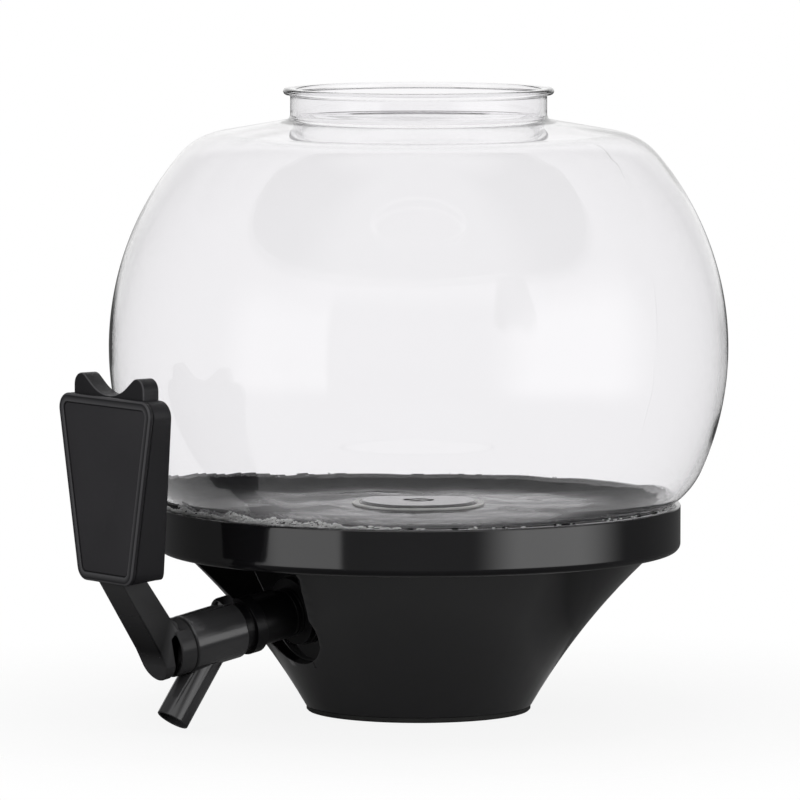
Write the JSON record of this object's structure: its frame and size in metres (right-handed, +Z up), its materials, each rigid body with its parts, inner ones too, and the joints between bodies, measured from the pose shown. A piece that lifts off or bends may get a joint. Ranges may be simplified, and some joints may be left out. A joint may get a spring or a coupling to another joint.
{
  "type": "globe drink dispenser with lever tap",
  "caption": "Clear open-necked globe vessel sealed into a black collar on a flared base, with a sloping lever plug tap and spout at the front, for serving cold drinks.",
  "frame": {"origin": "centre of the foot's underside, where the part stands", "axes": "+Z up along the globe axis, -Y to the front where the tap points, X across"},
  "size_m": [0.23, 0.257, 0.2317],
  "materials": {
    "foot_rubber": "matte rubber",
    "black_gloss": "glossy moulded plastic",
    "black_matte": "matte moulded plastic",
    "steel": "zinc plated steel",
    "clear_rubber": "clear silicone rubber",
    "clear_plastic": "clear moulded plastic",
    "white_rubber": "white silicone rubber",
    "seal_rubber": "black rubber",
    "hose": "translucent hose",
    "tap_black": "semi-gloss moulded plastic",
    "plug_white": "hard white plastic",
    "lever_satin": "satin moulded plastic",
    "panel_satin": "fine-textured satin plastic"
  },
  "bodies": {
    "vessel": {"foot_pad": "foot_rubber", "base_cone": "black_gloss", "bottom_cover": "black_matte", "cover_screws": "steel", "collar_tray": "black_gloss", "seat_gasket": "clear_rubber", "globe": "clear_plastic", "sealant_bead": "clear_rubber", "drain_washer_top": "white_rubber", "drain_fitting": "black_gloss", "drain_washer_low": "seal_rubber", "drain_nut": "black_matte", "drain_elbow": "black_matte", "feed_hose": "hose", "hose_clip_drain": "steel", "hose_clip_tap": "steel", "tap_body": "tap_black", "tap_shank": "tap_black", "shank_gasket": "seal_rubber", "shank_washer": "seal_rubber", "shank_nut": "black_matte"},
    "lever_group": {"valve_plug": "plug_white", "plug_ring_front": "seal_rubber", "plug_ring_back": "seal_rubber", "lever": "lever_satin", "paddle_body": "lever_satin", "paddle_frame": "lever_satin", "paddle_panel": "panel_satin", "paddle_screw_low": "steel", "paddle_screw_high": "steel"}
  },
  "joints": [
    {"name": "lever_turn", "type": "hinge", "parent": "vessel", "child": "lever_group", "pos_m": [0, -0.10781, 0.0319], "axis": [0, -0.9848, -0.1736], "range_deg": [-80, 80]}
  ]
}
